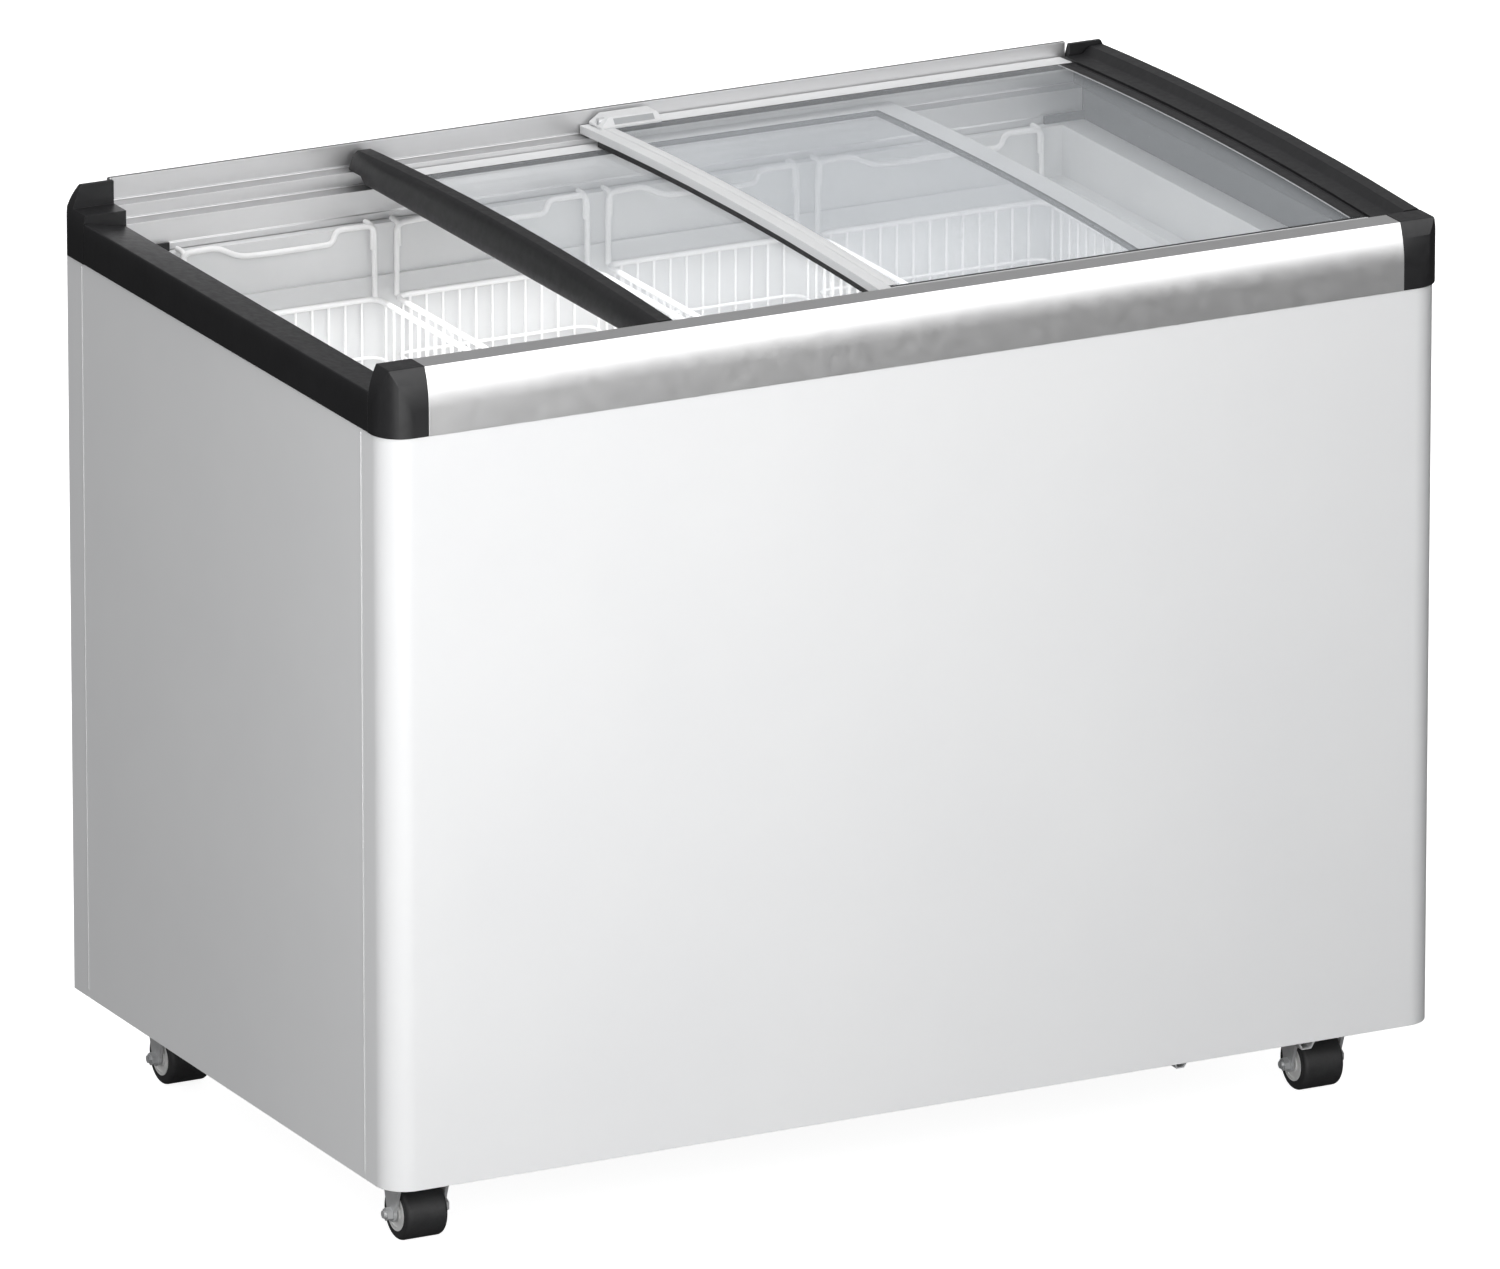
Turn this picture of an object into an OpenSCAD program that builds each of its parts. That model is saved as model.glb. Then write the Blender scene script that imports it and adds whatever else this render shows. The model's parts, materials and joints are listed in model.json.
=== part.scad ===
// Glass-top chest freezer on castors: sliding bowed lids, hanging baskets and a rear machine bay.
// Millimetres, +Z up, front towards -Y. Origin on the floor, under the centre of the overall box.
// Inside the modules z = 0 is the underside of the cabinet; stand() lifts it onto the castors.

/* [Cabinet] */
// Width of the painted cabinet
body_w = 1040; // [1000:5:1080]
// Depth of the painted cabinet
body_d = 640; // [630:5:650]
// Height of the painted cabinet, without frame and castors
body_h = 686.5; // [680:0.5:690]
// Radius of the two front vertical corners
corner_r = 27; // [15:1:40]
// Thickness of the steel skins
skin = 0.8; // [0.6:0.1:1.2]
// How far the front skin wraps onto each side
front_wrap = 48; // [40:1:60]
// How far the rear skin wraps onto each side
rear_wrap = 31; // [25:1:40]
// How far the rear spacers hold the cabinet off a wall
wall_gap = 20; // [10:1:40]

/* [Top frame] */
// How far the frame stands proud of the skins
frame_lip = 2; // [1:0.5:3]
// Height of the front rail above the cabinet
front_rail_h = 61; // [58:0.5:64]
// Height of the rear rail above the cabinet
rear_rail_h = 65.5; // [63:0.5:68]
// Radius of the rounded upper edge of the frame
frame_r = 85; // [80:1:95]
// Height above the cabinet where the rounding starts
frame_flat_h = 24.5; // [20:0.5:30]
// Length of a corner cap along the front
cap_w = 44; // [40:1:48]

/* [Lids] */
// How far the lower lid stands open at rest
lower_open = 272; // [0:1:272]
// Height that a lid rises from its ends to its middle
lid_bow = 8; // [4:1:9]
// Thickness of the lid glass
glass_t = 4; // [3:0.5:4]
// Width of a plain lid end rail
end_rail_w = 13; // [10:1:16]

/* [Compartment] */
// Height of the liner floor above the cabinet underside
floor_h = 60; // [50:1:80]
// Height of the step over the machine bay
hump_h = 350; // [320:5:380]
// Depth of a basket below its rim
basket_h = 190; // [120:5:200]
// Height of a basket rim above the cabinet underside
basket_rim = 626; // [615:1:630]

/* [Castors] */
// Height of the castors
castor_h = 73; // [73:1:75]
// Radius of a castor wheel
wheel_r = 25; // [24:0.5:25]
// Width of a castor wheel
wheel_w = 41; // [36:1:42]
// Distance of each castor from the middle, front to back
castor_y = 238; // [220:1:250]

/* [Hidden] */
$fn = 48;
eps = 0.01;
hx = body_w / 2;
hy = body_d / 2;
frame_x = hx + frame_lip;
frame_y = hy + frame_lip;
frame_z = body_h;
rail_x = frame_x - cap_w + 1.5;
front_top = frame_z + front_rail_h;
rear_top = frame_z + rear_rail_h;
bend_z = frame_z + frame_flat_h;

// Frame steps: each lid runs on its own pair of ledges
ledge1_z = 731;
ledge2_z = 718;
rear_y = [frame_y - 6, frame_y - 23, frame_y - 40];
front_y = [-frame_y + 34, -frame_y + 46, -frame_y + 58];
beam_inner_x = 480;
beam_fold_z = 724;
beam_inner_z = 717;
rail_wall = 2.5;
tray_t = 1.2;

// Liner: a wide upper band, a narrower lower part and a step over the machine bay
liner_t = 1.2;
liner_top = 689;
band_z = 642;
band_x = [-453, 453];
band_y = [-262, 270];
deep_x = [-449, 438];
deep_y = [-258, 266];
hump_x = 232;
drain_at = [-400, -210];
drain_r = 9;

// Machine bay under the step
bay_x = 268;
bay_h = 298;
bay_y = [-hy + 52, hy - skin];

// Lids: run = +1 for the upper (right) lid and -1 for the lower (left) lid
run_gap = 0.4;
upper_z = ledge1_z + run_gap;
lower_z = ledge2_z + run_gap;
lid_h = 8;
lower_h = 7;
lid_mid_y = 10;
lid_half = 304;
upper_y = [-286, 313.6];
lower_y = [-274, 297];
bar_y = [-286, 305];
upper_left = -14;
lower_right = 290;
lower_end_w = 24;
rail_deep = 24;
seal_w = 4;
corner_l = 80;
bar_outer = frame_x - 1;
bar_inner = 473;

// Baskets: [left, right] of each, left to right
BASKETS = [[-441, -241], [-229, -29], [-18, 182], [193, 431]];
basket_y = [-252, 262];
wire = 5;
basket_skin = 1;

// Castors: one at each corner
castor_left = -454.5;
castor_right = 439.2;
axle_z = wheel_r - castor_h;
axle_r = 4;
hub_r = 16.5;
fork_t = 3;
fork_gap = 1.5;

BLACK = [0.16, 0.16, 0.17];
WHITE = [0.95, 0.95, 0.95];
LIGHT = [0.85, 0.86, 0.86];
STEEL = [0.72, 0.73, 0.75];
GLASS = [0.78, 0.86, 0.9, 0.4];

// ---------- helpers ----------

module stand() {
    translate([0, -wall_gap / 2, castor_h]) children();
}

// A box between two values on each axis
module box(x, y, z) {
    translate([x[0], y[0], z[0]]) cube([x[1] - x[0], y[1] - y[0], z[1] - z[0]]);
}

// Extrudes an outline drawn in Y and Z along X
module along_x(x0, x1) {
    translate([x0, 0, 0]) rotate([90, 0, 90]) linear_extrude(x1 - x0) children();
}

// Extrudes an outline drawn in X and Z along Y
module along_y(y0, y1) {
    translate([0, y1, 0]) rotate([90, 0, 0]) linear_extrude(y1 - y0) children();
}

// A round bar along X, Y or Z that starts at a point
module bar_x(p, r, l) {
    translate(p) rotate([0, 90, 0]) cylinder(h = l, r = r);
}
module bar_y(p, r, l) {
    translate(p) rotate([-90, 0, 0]) cylinder(h = l, r = r);
}
module bar_z(p, r, l) {
    translate(p) cylinder(h = l, r = r);
}

// Outer edge of the frame: straight up to bend_z, then an arc that leans in
module frame_edge(outer, top) {
    intersection() {
        translate([-2 * outer, frame_z]) square([3 * outer, top - frame_z]);
        union() {
            translate([-2 * outer, frame_z]) square([3 * outer, bend_z - frame_z]);
            translate([-2 * outer, bend_z]) square([3 * outer - frame_r, frame_r]);
            translate([outer - frame_r, bend_z]) circle(r = frame_r, $fn = 180);
        }
    }
}

// ---------- cabinet skins ----------

// Footprint of the front skin: both front corners rounded, sides run back to y_back
module front_outline(inset, y_back) {
    r = corner_r - inset;
    intersection() {
        union() {
            translate([-hx + inset + r, -hy + inset]) square([2 * (hx - inset - r), 2 * body_d]);
            translate([-hx + inset, -hy + inset + r]) square([2 * (hx - inset), 2 * body_d]);
            for (s = [-1, 1]) translate([s * (hx - inset - r), -hy + inset + r])
                circle(r = r, $fn = 96);
        }
        translate([-hx, -hy]) square([body_w, y_back + hy]);
    }
}

module front_panel() {
    y_back = -hy + front_wrap;
    color(WHITE) stand() linear_extrude(body_h) difference() {
        front_outline(0, y_back);
        front_outline(skin, y_back + 1);
    }
}

module side_panel(side) {
    x = side > 0 ? [hx - skin, hx] : [-hx, -hx + skin];
    color(WHITE) stand() box(x, [-hy + front_wrap, hy - rear_wrap], [0, body_h]);
}

module rear_panel() {
    color(WHITE) stand() difference() {
        box([-hx, hx], [hy - rear_wrap, hy], [0, body_h]);
        box([-hx + skin, hx - skin], [hy - rear_wrap - 1, hy - skin], [-1, body_h + 1]);
        box([bay_x + 10, hx - 22], [hy - 2 * skin, hy + 1], [18, bay_h - 14]);
    }
}

// Small hat-shaped tab pressed down from the tray's front edge
module tray_tab(x, w, drop) {
    t = tray_t;
    along_y(-hy + 3, -hy + 15) difference() {
        polygon([[x - w / 2, t / 2], [x - w / 4, -drop], [x + w / 4, -drop], [x + w / 2, t / 2]]);
        polygon([[x - w / 2 + 2 * t, t], [x - w / 4 + t / 2, t - drop],
            [x + w / 4 - t / 2, t - drop], [x + w / 2 - 2 * t, t]]);
    }
}

// Floor tray with an air inlet under the machine bay
module base_pan() {
    color(STEEL) stand() {
        linear_extrude(tray_t) difference() {
            front_outline(skin, hy - skin);
            for (i = [0:9]) translate([bay_x + 30 + i * 20, -150]) square([8, 110]);
            translate(drain_at) circle(r = drain_r + 2);
        }
        tray_tab(263, 15, 5);
        tray_tab(390.5, 19, 7);
    }
}

// ---------- insulated tub ----------

module tub_space(grow) {
    g = grow;
    difference() {
        union() {
            box([band_x[0] - g, band_x[1] + g], [band_y[0] - g, band_y[1] + g],
                [band_z - g, liner_top + 1]);
            box([deep_x[0] - g, deep_x[1] + g], [deep_y[0] - g, deep_y[1] + g],
                [floor_h - g, band_z]);
        }
        box([hump_x - g, deep_x[1] + g + 1], [deep_y[0] - g - 1, deep_y[1] + g + 1],
            [floor_h - g - 1, hump_h - g]);
    }
}

// Level loops of flattened tube around the tub, joined by one riser
coil_t = 6;
module coil_loops(slack) {
    g = liner_t;
    out = g + coil_t + slack;
    x = [deep_x[0] - out, deep_x[1] + out];
    y = [deep_y[0] - out, deep_y[1] + out];
    for (i = [0:5]) {
        z = 372 + i * 44;
        difference() {
            box(x, y, [z - slack, z + 9 + slack]);
            box([deep_x[0] - g, deep_x[1] + g], [deep_y[0] - g, deep_y[1] + g],
                [z - 2, z + 12]);
        }
    }
    box([x[0], deep_x[0] - g], [-30 - slack, -20 + slack], [372, 592 + 9]);
}

module insulation_foam() {
    color([0.93, 0.85, 0.6]) stand() difference() {
        translate([0, 0, tray_t]) linear_extrude(frame_z - tray_t) front_outline(skin, hy - skin);
        translate([0, 0, frame_z]) cube([2 * body_w, 2 * body_d, 4], center = true);
        tub_space(liner_t);
        box([bay_x, hx], [bay_y[0], hy], [-1, bay_h]);
        coil_loops(0);
        bar_z([drain_at[0], drain_at[1], 0], drain_r + 2, floor_h);
    }
}

module inner_liner() {
    color(WHITE) stand() difference() {
        union() {
            intersection() {
                tub_space(liner_t);
                translate([0, 0, liner_top - 1000]) cube([4000, 4000, 2000], center = true);
            }
            box([-beam_inner_x + 1, beam_inner_x - 1], [front_y[2] + 1, rear_y[2] - 1],
                [frame_z - 2, liner_top]);
        }
        tub_space(0);
        bar_z([drain_at[0], drain_at[1], floor_h - 5], drain_r, 10);
    }
}

module evaporator_coil() {
    color(STEEL) stand() coil_loops(0);
}

module drain_tube() {
    color(LIGHT) stand() difference() {
        bar_z([drain_at[0], drain_at[1], -8], drain_r + 2, floor_h - liner_t + 8);
        bar_z([drain_at[0], drain_at[1], -9], drain_r, floor_h + 10);
    }
}

// Stopper in the liner floor, with a pull ring to lift it by
module drain_plug() {
    x = drain_at[0];
    y = drain_at[1];
    color(BLACK) stand() {
        bar_z([x, y, floor_h - 16], drain_r - 0.08, 17);
        bar_z([x, y, floor_h + 0.3], drain_r + 6, 3);
        difference() {
            bar_y([x, y - 2, floor_h + 8], 8, 4);
            bar_y([x, y - 3, floor_h + 9], 5, 6);
        }
    }
}

// ---------- top frame ----------

module front_rail() {
    inner = front_y;
    w = rail_wall;
    color(STEEL) stand() along_x(-rail_x, rail_x) difference() {
        intersection() {
            mirror([1, 0]) frame_edge(frame_y, front_top);
            polygon([[-frame_y - 1, frame_z], [inner[2], frame_z], [inner[2], ledge2_z],
                [inner[1], ledge2_z], [inner[1], ledge1_z], [inner[0], ledge1_z],
                [inner[0], front_top], [-frame_y - 1, front_top]]);
        }
        // hollow chamber
        polygon([[-frame_y + w, frame_z + w], [inner[2] - w, frame_z + w],
            [inner[2] - w, ledge2_z - w], [inner[1] - w, ledge2_z - w],
            [inner[1] - w, ledge1_z - w], [inner[0] - w, ledge1_z - w],
            [inner[0] - w, front_top - w], [-frame_y + 12, front_top - w],
            [-frame_y + w + 1, bend_z + 6]]);
    }
}

module rear_rail() {
    y = rear_y;
    w = rail_wall;
    lip = 1;
    color(STEEL) stand() along_x(-rail_x, rail_x) {
        difference() {
            polygon([[frame_y, frame_z], [frame_y, rear_top - 2], [frame_y - 2, rear_top],
                [y[0], rear_top], [y[0], ledge1_z], [y[1], ledge1_z], [y[1], ledge2_z],
                [y[2], ledge2_z], [y[2], frame_z + 10], [y[2] - 1, frame_z + 9],
                [y[2] - 1, frame_z + 3], [y[2], frame_z + 3], [y[2], frame_z]]);
            polygon([[frame_y - w, frame_z + w], [frame_y - w, ledge1_z - w],
                [y[1] + w, ledge1_z - w], [y[1] + w, ledge2_z - w], [y[2] + w, ledge2_z - w],
                [y[2] + w, frame_z + w]]);
        }
        // raised lips at the back of each ledge
        translate([y[0] - lip, ledge1_z]) square([lip, 1.2]);
        translate([y[1] - lip, ledge2_z]) square([lip, 1.2]);
    }
}

// Right-hand side beam: outer wall, fold line and a facet that slopes down to the opening
module beam_outline() {
    w = rail_wall;
    difference() {
        intersection() {
            frame_edge(frame_x, beam_fold_z);
            polygon([[beam_inner_x, frame_z], [frame_x + 1, frame_z], [frame_x + 1, beam_fold_z],
                [frame_x - 1, beam_fold_z], [beam_inner_x, beam_inner_z]]);
        }
        polygon([[beam_inner_x + w, frame_z + w], [frame_x - w, frame_z + w],
            [frame_x - w, bend_z + 4], [frame_x - w - 2, beam_fold_z - w - 1],
            [beam_inner_x + w, beam_inner_z - w - 0.5]]);
    }
}

module side_beam(side) {
    color(BLACK) stand() mirror([side > 0 ? 0 : 1, 0, 0])
        along_y(front_y[0], rear_y[2]) beam_outline();
}

// Footprint of a cap with its outer corner rounded; r is that corner's radius
module cap_plan(y0, y1, corner_y, r) {
    difference() {
        translate([rail_x, y0]) square([frame_x - rail_x, y1 - y0]);
        translate([frame_x - r, corner_y < 0 ? corner_y : corner_y - r]) square(r);
    }
    intersection() {
        translate([rail_x, y0]) square([frame_x - rail_x, y1 - y0]);
        translate([frame_x - r, corner_y < 0 ? corner_y + r : corner_y - r]) circle(r = r, $fn = 96);
    }
}

// Front cap, right hand: leans in on its two outer faces like the rail beside it
module front_cap(side) {
    color(BLACK) stand() mirror([side > 0 ? 0 : 1, 0, 0]) intersection() {
        translate([0, 0, frame_z]) linear_extrude(front_rail_h + 1)
            cap_plan(-frame_y, front_y[0], -frame_y, corner_r + 1);
        along_y(-frame_y - 1, 0) frame_edge(frame_x, front_top + 0.5);
        along_x(rail_x - 1, frame_x + 1) mirror([1, 0]) frame_edge(frame_y, front_top + 0.5);
    }
}

// Rear cap, right hand: stepped to match the ledges, low where the closed lid bar ends
module rear_cap(side) {
    y = rear_y;
    color(BLACK) stand() mirror([side > 0 ? 0 : 1, 0, 0]) {
        intersection() {
            union() {
                translate([0, 0, frame_z]) linear_extrude(ledge1_z - frame_z)
                    cap_plan(y[2], frame_y, frame_y, 8);
                translate([0, 0, frame_z]) linear_extrude(rear_rail_h)
                    cap_plan(bar_y[1] + 2, frame_y, frame_y, 8);
            }
            along_y(0, frame_y + 1) frame_edge(frame_x, rear_top);
            along_x(rail_x - 1, frame_x + 1) frame_edge(frame_y, rear_top);
        }
        // end tab of the lower wall
        box([beam_inner_x - 41, beam_inner_x], [y[2] - 4, y[2] - 1], [liner_top, 697]);
        box([rail_x, beam_inner_x], [y[2] - 1, y[2] + eps], [liner_top, 697]);
    }
}

// ---------- lids ----------

function bow(y) = lid_bow * (1 - pow((y - lid_mid_y) / lid_half, 2));
function stations(y0, y1, n) = [for (i = [0:n]) y0 + (y1 - y0) * i / n];

// Bowed slab seen from the side: z0 to z0 + t at the lid's ends, risen in the middle
module bow_strip(y0, y1, z0, t) {
    ys = stations(y0, y1, 20);
    n = len(ys) - 1;
    polygon(concat([for (v = ys) [v, z0 + bow(v)]], [for (i = [n:-1:0]) [ys[i], z0 + t + bow(ys[i])]]));
}

// Sweeps an outline of [x, z, share of bow, rise] along Y. Both ends pass over the upper ledge,
// where no point is lower than the ledge plus its rise.
module sweep_bar(outline) {
    cut = [front_y[1] + 0.5, rear_y[2] - 1];
    ys = concat([bar_y[0], cut[0]], stations(cut[0] + 4, cut[1] - 4, 22), [cut[1], bar_y[1]]);
    n = len(outline);
    m = len(ys);
    points = [for (v = ys) for (p = outline)
        [p[0], v, max(p[1] + p[2] * bow(v), v > cut[0] && v < cut[1] ? 0 : upper_z + p[3])]];
    sides = [for (j = [0:m - 2]) for (i = [0:n - 1])
        [j * n + i, j * n + (i + 1) % n, (j + 1) * n + (i + 1) % n, (j + 1) * n + i]];
    ends = [[for (i = [n - 1:-1:0]) i], [for (i = [0:n - 1]) (m - 1) * n + i]];
    polyhedron(points, concat(sides, ends), convexity = 6);
}

// Outline of the grip bar of a closed right-hand lid; under is the level of the lid's underside.
// No three of its points may end up in line at the bar's ends, so the rises differ a little.
function grip_outline(under, deck) = let (o = bar_outer, high = under > 725)
    [[o - 1.5, 725.5, 0, 0], [o - 28, high ? 729 : 721.5, 0, 0.2],
    [o - 40, high ? under : 719.6, high ? 1 : 0, 0.5], [bar_inner, under, 1, 0.9],
    [bar_inner, deck, 1, 2], [490, deck, 1, 2.3], [492, deck + 1, 1, 2.8], [499, 748, 1, 2],
    [512, 748.3, 1, 2], [516, 745, 1, 2], [518.5, 740, 0.8, 2], [o, 733, 0.2, 2], [o, 729, 0, 0.3]];

module upper_lid_handle() {
    color(BLACK) stand() sweep_bar(grip_outline(upper_z + 1, 741.3));
}

// The same bar turned over to face left, its outline read backwards
module lower_lid_handle() {
    right = grip_outline(lower_z, lower_z + lower_h + 1);
    left = [for (i = [len(right) - 1:-1:0]) let (p = right[i]) [lower_open - p[0], p[1], p[2], p[3]]];
    color(BLACK) stand() sweep_bar(left);
}

// Front and rear rails of a lid between x0 and x1
module lid_rails(x0, x1, y, z, h) {
    along_x(x0, x1) {
        bow_strip(y[1] - rail_deep, y[1], z, h);
        bow_strip(y[0], y[0] + rail_deep - 4, z, h);
    }
}

module upper_lid_rails() {
    color(LIGHT) stand()
        lid_rails(upper_left + end_rail_w, bar_inner, upper_y, upper_z, lid_h);
}

module lower_lid_rails() {
    color(LIGHT) stand() lid_rails(lower_open - bar_inner, lower_right - lower_end_w,
        lower_y, lower_z, lower_h);
}

module upper_lid_end_rail() {
    color(LIGHT) stand() along_x(upper_left, upper_left + end_rail_w)
        bow_strip(upper_y[0] + corner_l, upper_y[1] - corner_l, upper_z, lid_h);
}

// Corner pieces that join the upper lid's end rail to its front and rear rails
module upper_lid_corners() {
    color(LIGHT) stand() along_x(upper_left, upper_left + end_rail_w) {
        bow_strip(upper_y[0], upper_y[0] + corner_l, upper_z, lid_h);
        bow_strip(upper_y[1] - corner_l, upper_y[1], upper_z, lid_h);
    }
}

module lower_lid_end_rail() {
    color(LIGHT) stand() along_x(lower_right - lower_end_w, lower_right)
        bow_strip(lower_y[0], lower_y[1], lower_z, lower_h);
}

// The pane fills the frame, less a seal strip all round
module pane(x0, x1, y, z, h) {
    along_x(x0 + seal_w, x1 - seal_w)
        bow_strip(y[0] + rail_deep - 4 + seal_w, y[1] - rail_deep - seal_w, z + h - glass_t, glass_t);
}

module upper_lid_glass() {
    color(GLASS) stand() pane(upper_left + end_rail_w, bar_inner, upper_y, upper_z, lid_h);
}

module lower_lid_glass() {
    color(GLASS) stand() pane(lower_open - bar_inner, lower_right - lower_end_w,
        lower_y, lower_z, lower_h);
}

// Seal frame around a pane
module pane_seal(x0, x1, y, z, h) {
    a = y[0] + rail_deep - 4;
    b = y[1] - rail_deep;
    difference() {
        along_x(x0, x1) bow_strip(a, b, z + h - glass_t - 0.6, glass_t + 0.2);
        box([x0 + seal_w, x1 - seal_w], [a + seal_w, b - seal_w], [z, z + 40]);
    }
}

// Pane seal, and the wiper under the end rail that closes the gap to the lower lid
module upper_lid_seals() {
    color(BLACK) stand() {
        pane_seal(upper_left + end_rail_w, bar_inner, upper_y, upper_z, lid_h);
        along_x(upper_left + 1, upper_left + 9)
            bow_strip(front_y[2] + 2, rear_y[2] - 2, 726, upper_z - 726.3);
    }
}

module lower_lid_seals() {
    color(BLACK) stand() pane_seal(lower_open - bar_inner, lower_right - lower_end_w,
        lower_y, lower_z, lower_h);
}

// Lock block on the upper lid's rear corner
lock_x = [-6, 54];
lock_y = [286, 311];
lock_z = upper_z + lid_h + 1.3;
lock_top = lock_z + 9;
key_at = [lock_x[0] + 4, 298, lock_z + 4.6];
key_r = 3.4;

module lock_housing() {
    color(LIGHT) stand() difference() {
        intersection() {
            along_y(lock_y[0], lock_y[1]) polygon([[lock_x[0], lock_z], [lock_x[1], lock_z],
                [lock_x[1], lock_top - 2], [lock_x[1] - 2, lock_top], [lock_x[0] + 10, lock_top],
                [lock_x[0], lock_z + 2]]);
            along_x(lock_x[0], lock_x[1]) polygon([[lock_y[0], lock_z], [lock_y[1], lock_z],
                [lock_y[1], lock_top], [lock_y[0] + 6, lock_top], [lock_y[0], lock_z + 2]]);
        }
        bar_x([lock_x[0] - 1, key_at[1], key_at[2]], key_r + 0.05, 19);
    }
}

// Key barrel with its slot
module lock_cylinder() {
    color(STEEL) stand() difference() {
        bar_x([lock_x[0] + 2, key_at[1], key_at[2]], key_r, 15.5);
        box([lock_x[0], lock_x[0] + 7], [key_at[1] - 0.5, key_at[1] + 0.5],
            [key_at[2] - 2.2, key_at[2] + 2.2]);
    }
}

// ---------- baskets ----------

// Rod of square section between two values on each axis, wire thick elsewhere
module rod(x, y, z) {
    box([min(x) - wire / 2, max(x) + wire / 2], [min(y) - wire / 2, max(y) + wire / 2],
        [min(z) - wire / 2, max(z) + wire / 2]);
}

// Hanger at one end: two uprights, raised shoulders and a lower grip between them
module hanger(x0, x1, y, out) {
    top = liner_top + wire / 2 + 0.3;
    grip = top - 12;
    step = 40;
    for (x = [x0 + wire, x1 - wire]) {
        rod([x, x], [y, y], [basket_rim - 4, top]);
        rod([x, x], [y, y + out], [top, top]);
    }
    rod([x0 + wire, x0 + step], [y, y], [top, top]);
    rod([x1 - step, x1 - wire], [y, y], [top, top]);
    rod([x0 + step, x0 + step], [y, y], [grip, top]);
    rod([x1 - step, x1 - step], [y, y], [grip, top]);
    rod([x0 + step, x1 - step], [y, y], [grip, grip]);
}

module basket(i) {
    x = BASKETS[i];
    y = basket_y;
    t = basket_skin;
    color(WHITE) stand() {
        difference() {
            box(x, y, [basket_rim - basket_h, basket_rim - wire]);
            box([x[0] + t, x[1] - t], [y[0] + t, y[1] - t],
                [basket_rim - basket_h + t, basket_rim]);
        }
        difference() {
            box(x, y, [basket_rim - wire, basket_rim]);
            box([x[0] + wire, x[1] - wire], [y[0] + wire, y[1] - wire],
                [basket_rim - 2 * wire, basket_rim + 1]);
        }
        hanger(x[0], x[1], y[1] - wire / 2, 15);
        hanger(x[0], x[1], y[0] + wire / 2, -11);
    }
}

// ---------- machine bay ----------

comp_at = [400, 190, tray_t];
fan_at = [392, -40, 150];
fan_r = 82;
grille_x = [bay_x + 6, hx - 18];
grille_z = [14, bay_h - 10];
knob_at = [330, hy + 3, 236];
inlet_x = [430, 462];
inlet_z = [226, 250];

// Welded steel shell on a foot plate
module compressor() {
    color([0.1, 0.1, 0.11]) stand() translate(comp_at) {
        translate([0, 0, 22]) rotate_extrude($fn = 72)
            polygon(concat([[0, 0]], [for (a = [-90:15:0]) [54 + 20 * cos(a), 20 + 20 * sin(a)]],
                [for (a = [0:10:90]) [24 + 50 * cos(a), 96 + 42 * sin(a)]], [[0, 138]]));
        difference() {
            translate([0, 0, 21]) cube([190, 110, 4], center = true);
            for (sx = [-1, 1]) for (sy = [-1, 1])
                translate([sx * 82, sy * 44, 15]) cylinder(h = 12, r = 8);
        }
    }
}

// Rubber feet that carry the foot plate
module compressor_grommets() {
    color(BLACK) stand() translate(comp_at)
        for (sx = [-1, 1]) for (sy = [-1, 1]) translate([sx * 82, sy * 44, 0]) {
            cylinder(h = 19, r = 12);
            cylinder(h = 24, r = 7.9);
            translate([0, 0, 23.2]) cylinder(h = 4, r = 11);
        }
}

module relay_cover() {
    color(BLACK) stand() box([comp_at[0] - 112, comp_at[0] - 76],
        [comp_at[1] - 24, comp_at[1] + 24], [70, 118]);
}

// Finned block: a stack of thin plates on round tubes with end plates
module condenser() {
    x = [bay_x + 22, hx - 26];
    y = [-190, -150];
    color(STEEL) stand() {
        for (v = x) box([v - 1, v + 1], y, [20, 280]);
        for (i = [1:17]) box([x[0] + i * 11.6 - 0.4, x[0] + i * 11.6 + 0.4], y, [24, 276]);
        for (i = [0:5]) for (s = [0, 1])
            bar_x([x[0] - 8, y[0] + 12 + 16 * s, 46 + i * 40], 4, x[1] - x[0] + 16);
    }
}

module fan_shroud() {
    f = fan_at;
    color(BLACK) stand() difference() {
        union() {
            box([bay_x + 21, hx - 25], [-149, -146], [20, 280]);
            bar_y([f[0], -146, f[2]], fan_r + 8, 40);
        }
        bar_y([f[0], -160, f[2]], fan_r + 4, 80);
    }
}

// Motor can on a cross strap that reaches the shroud's rim
module fan_motor() {
    f = fan_at;
    color(STEEL) stand() {
        bar_y([f[0], f[1] - 64, f[2]], 30, 44);
        difference() {
            box([f[0] - fan_r - 6, f[0] + fan_r + 6], [f[1] - 66, f[1] - 62], [f[2] - 9, f[2] + 9]);
            bar_y([f[0], f[1] - 70, f[2]], 20, 7);
        }
        bar_y([f[0], f[1] - 88, f[2]], 3, 30);
    }
}

// Five-bladed rotor on the motor's shaft
module fan_rotor() {
    f = fan_at;
    color(BLACK) stand() translate([f[0], f[1] - 94, f[2]]) rotate([-90, 0, 0]) {
        difference() {
            union() {
                cylinder(h = 20, r = 18);
                for (i = [0:4]) rotate([0, 0, i * 72]) translate([16, -16, 6]) rotate([24, 0, 0])
                    cube([fan_r - 18, 32, 1.6]);
            }
            translate([0, 0, 5.5]) cylinder(h = 30, r = 3.05);
        }
    }
}

module filter_drier() {
    color([0.72, 0.45, 0.25]) stand() translate([300, 60, 120]) rotate_extrude()
        polygon([[0, 0], [3, 0], [3, 10], [12, 20], [12, 100], [3, 110], [3, 120], [0, 120]]);
}

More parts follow.
